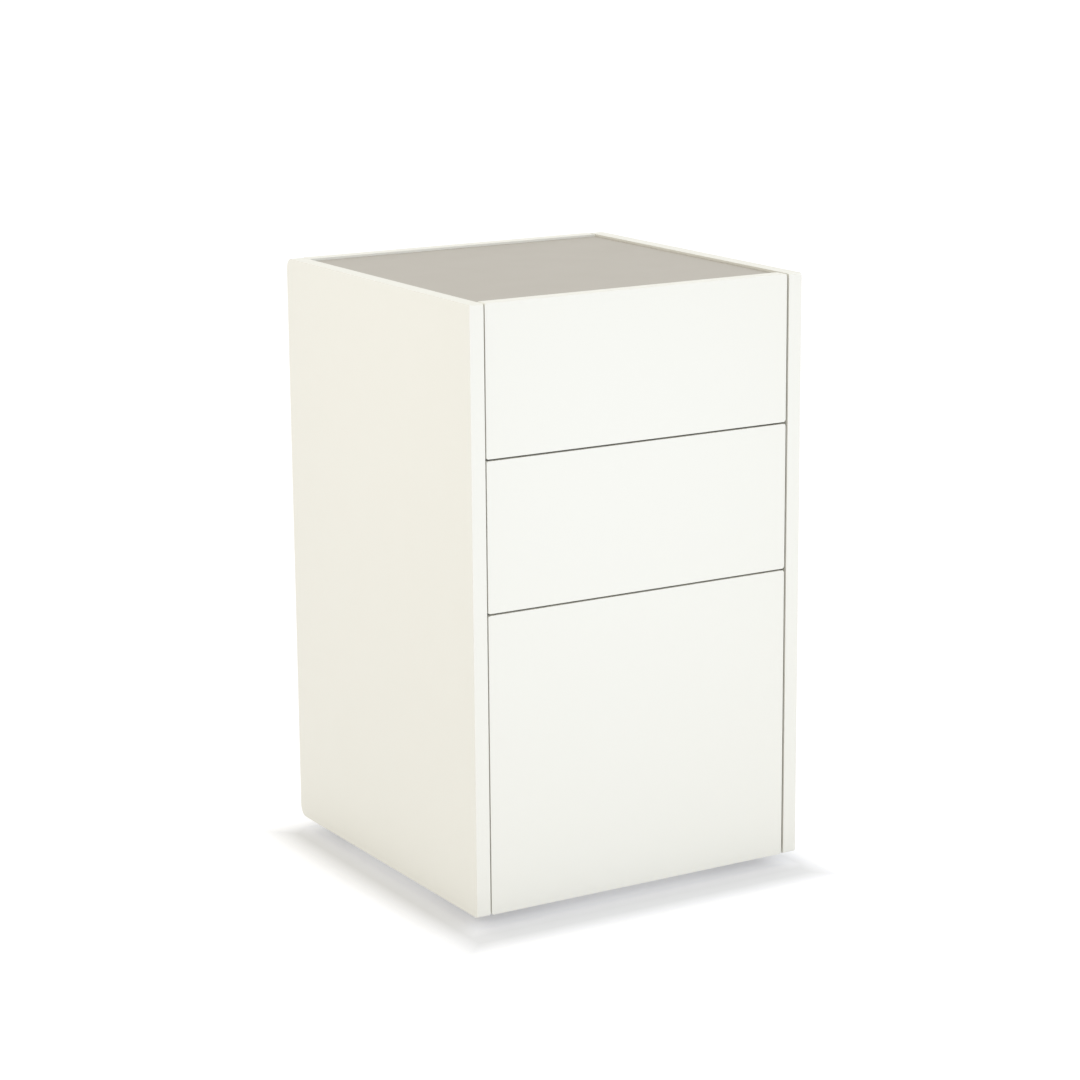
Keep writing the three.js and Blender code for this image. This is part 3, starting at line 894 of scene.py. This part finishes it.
def make_cages(slide):
    """Ball cages, each where both members that it runs between still cover it, full out too."""
    name = f"{slide.name}_{slide.side}"
    body = f"{slide.name}_slide_middle"
    middle_y = slide.along(0.5)
    runs = (("outer", OUTER_BALLS, OUTER_CAGE_WEB, middle_y + CAGE_END, slide.rear - CAGE_END),
            ("inner", INNER_BALLS, INNER_CAGE_WEB, slide.front + CAGE_END, middle_y - CAGE_END))
    for kind, balls, web, front, rear in runs:
        bm = slide.extruded(cage_section(balls, web), CAGE_SHEET, front, rear)
        finish_mesh(f"{name}_{kind}_cage", bm, body, [STAMPED])
        bm = bmesh.new()
        count = int((rear - front - 2 * CAGE_END) / BALL_PITCH) + 1
        for i in range(count):
            y = front + CAGE_END + i * BALL_PITCH
            for up in (-1, 1):
                place = Matrix.Translation((slide.x(balls[0]), y, slide.z + up * balls[1]))
                bmesh.ops.create_icosphere(bm, subdivisions=2, radius=BALL_RADIUS, matrix=place)
        finish_mesh(f"{name}_{kind}_balls", bm, body, [BALL_STEEL])


def make_stops(slide):
    """A plastic bumper at the rear of the cabinet member, and the drawer member's release lever."""
    name = f"{slide.name}_{slide.side}"
    plate, start, middle_y = 0.64 * MM, 1.6 * MM, slide.rear - 5 * MM
    bm = bmesh.new()
    faces = prism(bm, outline(7 * MM, 20 * MM, 1.5 * MM),
                  lambda u, v, w: Vector((slide.x(start + w), middle_y + u, slide.z + v)), plate)
    ease(bm, rim_edges(faces), 0.15 * MM, 2)
    finish_mesh(f"{name}_rear_bumper", bm, "cabinet", [GREY_PLASTIC])

    points = [(-30 * MM, -1.5 * MM), (0, -2.2 * MM), (14 * MM, -4 * MM), (20 * MM, -3 * MM),
              (20 * MM, 1 * MM), (8 * MM, 2.2 * MM), (-30 * MM, 1.5 * MM)]
    lever, lever_start, lever_y = 2.4 * MM, 8.6 * MM, slide.along(0.45)
    bm = bmesh.new()
    faces = prism(bm, points,
                  lambda u, v, w: Vector((slide.x(lever_start + w), lever_y + u, slide.z + v)), lever)
    ease(bm, rim_edges(faces), 0.3 * MM, 2)
    finish_mesh(f"{name}_release_lever", bm, f"{slide.name}_drawer", [GREY_PLASTIC])


# ---- latches and counterweight ----

def make_latch(name):
    """A push-to-open unit: a moulded body, a flange screwed to the back panel, and its plunger."""
    low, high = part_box(f"{name}_latch_housing")
    axis = centre_of(f"{name}_latch_plunger")
    width, height = high.x - low.x, high.z - low.z
    middle_x, middle_z = (low.x + high.x) / 2, (low.z + high.z) / 2

    def across(front):
        return lambda u, v, w: Vector((middle_x + u, front + w, middle_z + v))

    bm = bmesh.new()
    faces = prism(bm, outline(width, height, 6 * MM), across(low.y), high.y - low.y)
    ease(bm, list(faces[0].edges), 1.2 * MM, 3)
    housing = finish_mesh(f"{name}_latch_body", bm, "cabinet", [GREY_PLASTIC],
                          [f"{name}_latch_housing"])
    mouth = BORE_RADIUS + 1 * MM
    bore_profile = [(0, -2 * MM), (mouth, -2 * MM), (mouth, 0.5 * MM), (BORE_RADIUS, 1.6 * MM),
                    (BORE_RADIUS, BORE_DEPTH), (0, BORE_DEPTH)]
    bore = bmesh.new()
    lathe(bore, bore_profile, (axis.x, low.y, axis.z), (0, 1, 0), 40)
    cutaway(housing, bore)

    ears = width + 26 * MM
    flange_front = high.y - LATCH_FLANGE
    bm = bmesh.new()
    faces = prism(bm, outline(ears, height - 4 * MM, 7 * MM), across(flange_front), LATCH_FLANGE)
    ease(bm, list(faces[0].edges), 0.7 * MM, 3)
    finish_mesh(f"{name}_latch_flange", bm, "cabinet", [GREY_PLASTIC])
    reach = ears / 2 - 6.5 * MM
    places = [((middle_x + side * reach, flange_front, middle_z), (0, -1, 0)) for side in (-1, 1)]
    screws(f"{name}_latch_screws", places, PAN_HEAD, "cabinet")
    make_plunger(name, axis)


def make_plunger(name, axis):
    """The white rod and the grey bumper on its tip."""
    low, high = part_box(f"{name}_latch_plunger")
    tip_place = (axis.x, low.y, axis.z)
    bm = bmesh.new()
    lathe(bm, rod_profile(ROD_RADIUS, 3 * MM, high.y - low.y), tip_place, (0, 1, 0), 40)
    finish_mesh(f"{name}_plunger_rod", bm, f"{name}_plunger", [WHITE_PLASTIC],
                [f"{name}_latch_plunger"])
    tip = [(0, 0), (6.3 * MM, 0), (7.1 * MM, 0.3 * MM), (7.4 * MM, 1.0 * MM), (7.4 * MM, 3.2 * MM),
           (7.0 * MM, 3.8 * MM), (5.1 * MM, 3.9 * MM), (5.1 * MM, 5.2 * MM), (0, 5.2 * MM)]
    bm = bmesh.new()
    lathe(bm, tip, tip_place, (0, 1, 0), 40)
    finish_mesh(f"{name}_plunger_tip", bm, f"{name}_plunger", [GREY_PLASTIC])


def make_counterweight():
    """The steel plate on the back panel and its four bolts."""
    low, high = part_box("counterweight")
    bm = board_mesh(low, high, 3 * MM, 1 * MM, 3)
    finish_mesh("counterweight_plate", bm, "cabinet", [POWDER], ["counterweight"])
    places = []
    for side in (-1, 1):
        for share in BOLT_HEIGHTS:
            z = low.z + share * (high.z - low.z)
            places.append(((side * BOLT_REACH, low.y, z), (0, -1, 0)))
    screws("counterweight_screws", places, BOLT_HEAD, "cabinet")


# ---- castors ----

def make_castor(name):
    plate_low, plate_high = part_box(f"{name}_plate")
    fork_low, fork_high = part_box(f"{name}_fork")
    wheel_low, wheel_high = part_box(f"{name}_wheel")
    pin = (plate_low + plate_high) / 2
    make_castor_plate(name, pin, plate_low, plate_high, fork_high.z)
    make_castor_fork(name, pin, fork_low, fork_high, (wheel_low + wheel_high) / 2)
    make_castor_wheel(name, wheel_low, wheel_high)


def make_castor_plate(name, pin, low, high, fork_top):
    """A pressed plate with four holes, its screws, the raceway below it and the riveted king pin."""
    size = high.x - low.x
    under = high.z - PLATE_SHEET
    bm = bmesh.new()
    faces = prism(bm, outline(size, size, 6 * MM),
                  lambda u, v, w: Vector((pin.x + u, pin.y + v, under + w)), PLATE_SHEET)
    ease(bm, rim_edges(faces), 0.6 * MM, 3)
    plate = finish_mesh(f"{name}_plate_pressing", bm, "cabinet", [STAMPED],
                        [f"{name}_plate"])
    holes = [(pin.x + sx * PLATE_HOLES, pin.y + sy * PLATE_HOLES) for sx in (-1, 1) for sy in (-1, 1)]
    cutters = bmesh.new()
    for x, y in holes:
        lathe(cutters, rod_profile(PLATE_HOLE_RADIUS, -3 * MM, 3 * MM),
              (x, y, high.z - PLATE_SHEET / 2), (0, 0, 1), 20)
    cutaway(plate, cutters)

    end = under - fork_top
    raceway = [(0, -0.4 * MM), (16.6 * MM, -0.4 * MM), (15.6 * MM, 0.4 * MM),
               (15.0 * MM, end - 0.8 * MM), (14.2 * MM, end - 0.3 * MM),
               (4 * MM, end - 0.3 * MM), (0, end - 0.3 * MM)]
    bm = bmesh.new()
    lathe(bm, raceway, (pin.x, pin.y, under), (0, 0, -1), 48)
    finish_mesh(f"{name}_raceway", bm, "cabinet", [STAMPED])

    end = fork_top - low.z
    king_pin = [(0, -0.5 * MM), (4 * MM, -0.5 * MM), (4 * MM, end - 1.2 * MM),
                (6.2 * MM, end - 1.2 * MM), (6.4 * MM, end - 0.7 * MM), (5.2 * MM, end - 0.1 * MM),
                (1.8 * MM, end), (1.2 * MM, end - 0.5 * MM), (0, end - 0.5 * MM)]
    bm = bmesh.new()
    lathe(bm, king_pin, (pin.x, pin.y, fork_top), (0, 0, -1), 32)
    finish_mesh(f"{name}_king_pin", bm, "cabinet", [STAMPED])
    places = [((x, y, under), (0, 0, -1)) for x, y in holes]
    screws(f"{name}_plate_screws", places, CASTOR_SCREW_HEAD, "cabinet")


def make_castor_fork(name, pin, low, high, hub):
    """A folded fork: a crown with a clearance hole and two legs that narrow to the riveted axle."""
    body = f"{name}_fork"
    under = high.z - CROWN_SHEET
    middle_y = (low.y + high.y) / 2
    bm = bmesh.new()
    faces = prism(bm, outline(2 * FORK_HALF, high.y - low.y, 2 * MM),
                  lambda u, v, w: Vector((pin.x + u, middle_y + v, under + w)), CROWN_SHEET)
    ease(bm, rim_edges(faces), 0.6 * MM, 3)
    crown = finish_mesh(f"{name}_fork_crown", bm, body, [STAMPED], [f"{name}_fork"])
    hole = bmesh.new()
    lathe(hole, rod_profile(CROWN_HOLE_RADIUS, -4 * MM, 4 * MM),
          (pin.x, pin.y, high.z - CROWN_SHEET / 2), (0, 0, 1), 32)
    cutaway(crown, hole)

    front, rear = low.y + 0.6 * MM, high.y - 0.6 * MM
    leg_top = under + 1 * MM
    shoulder = under - 2 * MM
    leg = [(front, leg_top), (front, shoulder)]
    leg += arc((hub.y, hub.z), AXLE_EYE, 180, 360, 12)
    leg += [(rear, shoulder), (rear, leg_top)]
    for side, start in (("left", pin.x - FORK_HALF), ("right", pin.x + FORK_HALF - LEG_SHEET)):
        bm = bmesh.new()
        faces = prism(bm, leg, lambda u, v, w: Vector((start + w, u, v)), LEG_SHEET)
        ease(bm, rim_edges(faces), 0.4 * MM, 2)
        finish_mesh(f"{name}_fork_{side}_leg", bm, body, [STAMPED])

    reach = FORK_HALF + 1.4 * MM
    shank, collar, head = 3 * MM, 4.5 * MM, 3.4 * MM
    axle = [(0, -reach), (head, -reach), (4.4 * MM, 0.6 * MM - reach), (collar, -FORK_HALF),
            (shank, -FORK_HALF), (shank, FORK_HALF),
            (collar, FORK_HALF), (4.4 * MM, reach - 0.6 * MM), (head, reach), (0, reach)]
    bm = bmesh.new()
    lathe(bm, axle, (pin.x, hub.y, hub.z), (1, 0, 0), 28)
    finish_mesh(f"{name}_axle", bm, body, [STAMPED])


def make_castor_wheel(name, low, high):
    """A moulded hub with ribs and a soft tread with a slight crown."""
    body = f"{name}_wheel"
    centre = (low + high) / 2
    radius = (high.z - low.z) / 2
    face = WHEEL_HALF - 1.5 * MM
    hub = [(WHEEL_BORE, -WHEEL_HALF - 0.5 * MM), (WHEEL_BOSS - 0.5 * MM, -WHEEL_HALF - 0.5 * MM),
           (WHEEL_BOSS, -WHEEL_HALF), (WHEEL_BOSS, -WHEEL_DISC), (13.4 * MM, -WHEEL_DISC),
           (13.8 * MM, -face), (WHEEL_RIM, -face)]
    hub += [(across, -along) for across, along in reversed(hub)]
    bm = bmesh.new()
    lathe(bm, ring_profile(hub), centre, (1, 0, 0), 64)
    finish_mesh(f"{name}_wheel_hub", bm, body, [HUB_PLASTIC], [f"{name}_wheel"])
    make_wheel_ribs(name, body, centre)

    shoulder = radius - 2.6 * MM
    tread = [(WHEEL_RIM + 0.05 * MM, -face - 0.6 * MM), (shoulder, -WHEEL_HALF)]
    tread += arc((shoulder, -WHEEL_HALF + 2.4 * MM), 2.4 * MM, -75, 0, 5)
    tread_end = [(across, -along) for across, along in reversed(tread)]
    tread += [(radius - TREAD_CROWN * (y / 5) ** 2, y * MM) for y in range(-5, 6)]
    bm = bmesh.new()
    lathe(bm, ring_profile(tread + tread_end), centre, (1, 0, 0), 72)
    finish_mesh(f"{name}_wheel_tread", bm, body, [RUBBER])


def make_wheel_ribs(name, body, centre):
    """Six radial ribs on each side of the hub's disc."""
    rib = outline(1.2 * MM, 7.2 * MM, 0.3 * MM, 2)
    base, from_axle = WHEEL_DISC - 0.2 * MM, 9.9 * MM
    bm = bmesh.new()
    for spoke in range(6):
        turn = Matrix.Rotation(math.radians(60 * spoke + 30), 3, "X")
        for side in (-1, 1):
            faces = prism(bm, rib,
                          lambda u, v, w: centre + turn @ Vector((side * (base + w), u, from_axle + v)),
                          3.2 * MM)
            ease(bm, list(faces[1].edges), 0.25 * MM, 2)
    finish_mesh(f"{name}_wheel_ribs", bm, body, [HUB_PLASTIC])


# ---- floor, light and camera ----

FLOOR_SIZE = 80
FLOOR_DROP = 0.0002  # just under the wheels

# The floor's own glow, painted light: raised under the cabinet, dimmed in a painted shadow band round
# it, and even beyond
PAINTED_GLOW_UNDER = 0.27
PAINTED_SHADOW_GLOW = 0.075
FAR_GLOW = 0.36

# The painted shadow, a band of dimmer floor glow, measured from the side panels: the start's half
# width, the end, and the fade beyond.
# The shift is how much further it reaches at the left and at the front.
PAINTED_SHADOW_START = 14 * MM
PAINTED_SHADOW_END = 6 * MM
PAINTED_SHADOW_FADE = 36 * MM
PAINTED_SHADOW_SHIFT = (8 * MM, 25 * MM)

# The surroundings' light, blended from left to right
LEFT_SKY = (0.917, 0.866, 0.74, 1)
RIGHT_SKY = (1.1, 1.12, 1.13, 1)

# The camera fitted to the photo: metres, degrees, and mm for the lens and the sensor
CAMERA_PLACE = (-1.6791, -2.8189, 1.1198)
CAMERA_AZIMUTH = -30.763
CAMERA_ELEVATION = 13.177
CAMERA_ROLL = -0.457
CAMERA_LENS = 102.39
CAMERA_SENSOR = 36
CAMERA_REACH = 200


def floor_look():
    """A pale floor that glows though it is no lamp: painted light, faint and even far out, brighter
    under the cabinet, and dimmer in a band round it that paints the cabinet's shadow.
    """
    look = Look("studio_floor", (0.745, 0.75, 0.775), 1.0)
    look.set({"Specular IOR Level": 0.0, "Emission Color": (1, 1, 1.03, 1)})
    split = look.nodes.new("ShaderNodeSeparateXYZ")
    look.links.new(look.place, split.inputs["Vector"])

    def distance(shift):
        moved = [look.combine("ADD", split.outputs[axis], part) for axis, part in zip("XY", shift)]
        return look.combine("MAXIMUM", *(look.combine("ABSOLUTE", value) for value in moved))

    half = cad_box[1].x
    band_end = half + PAINTED_SHADOW_END
    # Painted light under the cabinet, then a painted shadow band where the floor's glow dims round it
    under = look.ramp(distance((0.0, 0.0)), half - PAINTED_SHADOW_START, half + PAINTED_SHADOW_START,
                      PAINTED_GLOW_UNDER, PAINTED_SHADOW_GLOW)
    beyond = look.ramp(distance(PAINTED_SHADOW_SHIFT), band_end, band_end + PAINTED_SHADOW_FADE,
                       PAINTED_SHADOW_GLOW, FAR_GLOW)
    look.links.new(look.combine("MAXIMUM", under, beyond), look.shader.inputs["Emission Strength"])
    return look.material


def make_floor():
    bpy.ops.mesh.primitive_plane_add(size=FLOOR_SIZE, location=(0, 0, -FLOOR_DROP))
    floor = bpy.context.object
    floor.name = "studio_floor"
    floor.data.materials.append(floor_look())


def softbox(name, place, aim, size, power, color, spread):
    """A soft rectangular lamp: power in watts, spread in degrees."""
    data = bpy.data.lights.new(name, "AREA")
    data.shape = "RECTANGLE"
    data.size, data.size_y = size
    data.energy = power
    data.color = color
    data.spread = math.radians(spread)
    lamp = bpy.data.objects.new(name, data)
    lamp.location = place
    lamp.rotation_euler = (Vector(aim) - Vector(place)).to_track_quat("-Z", "Y").to_euler()
    lamp.visible_camera = False
    bpy.context.scene.collection.objects.link(lamp)


def make_studio_light():
    """Soft light from all round, warmer from the left than from the right."""
    world = bpy.data.worlds.new("studio")
    bpy.context.scene.world = world
    world.use_nodes = True
    nodes, links = world.node_tree.nodes, world.node_tree.links
    direction = nodes.new("ShaderNodeTexCoord").outputs["Generated"]
    split = nodes.new("ShaderNodeSeparateXYZ")
    links.new(direction, split.inputs["Vector"])
    share = nodes.new("ShaderNodeMapRange")
    share.inputs["From Min"].default_value = -1
    links.new(split.outputs["X"], share.inputs["Value"])
    blend = nodes.new("ShaderNodeMix")
    blend.data_type = "RGBA"
    blend.inputs["A"].default_value = LEFT_SKY
    blend.inputs["B"].default_value = RIGHT_SKY
    links.new(share.outputs["Result"], blend.inputs["Factor"])
    links.new(blend.outputs["Result"], nodes["Background"].inputs["Color"])


def make_lights():
    make_studio_light()
    softbox("overhead", place=(0.03, 0.03, 3.0), aim=(0.03, 0.03, 0), size=(0.15, 0.15),
            power=4, color=(1, 1, 1), spread=180)
    softbox("left", place=(-1.5, -0.2, 1.0), aim=(-0.2, 0, 0.66), size=(0.7, 0.5),
            power=0.2, color=(1, 0.98, 0.95), spread=50)
    softbox("front", place=(0.15, -1.7, 1.0), aim=(-0.03, -0.2, 0.45), size=(0.7, 0.5),
            power=0.56, color=(0.62, 0.75, 1), spread=50)


def make_camera():
    """Looks from the left of the fronts and from above."""
    azimuth, elevation = math.radians(CAMERA_AZIMUTH), math.radians(CAMERA_ELEVATION)
    roll = math.radians(CAMERA_ROLL)
    data = bpy.data.cameras.new("camera")
    data.sensor_width = CAMERA_SENSOR
    data.lens = CAMERA_LENS
    data.clip_end = CAMERA_REACH
    camera = bpy.data.objects.new("camera", data)
    camera.location = CAMERA_PLACE
    level = math.cos(elevation)
    back = Vector((math.sin(azimuth) * level, -math.cos(azimuth) * level, math.sin(elevation)))
    turn = (-back).to_track_quat("-Z", "Y").to_matrix() @ Matrix.Rotation(roll, 3, "Z")
    camera.rotation_euler = turn.to_euler()
    bpy.context.scene.collection.objects.link(camera)
    bpy.context.scene.camera = camera


bpy.context.scene.view_settings.view_transform = "Standard"
make_camera()
make_floor()
make_lights()
make_carcass()
make_drawers()
for drawer in DRAWERS:
    for side_name, side_sign in SIDES:
        make_slide(drawer, side_name, side_sign)
    make_latch(drawer)
make_counterweight()
for castor in CASTORS:
    make_castor(castor)
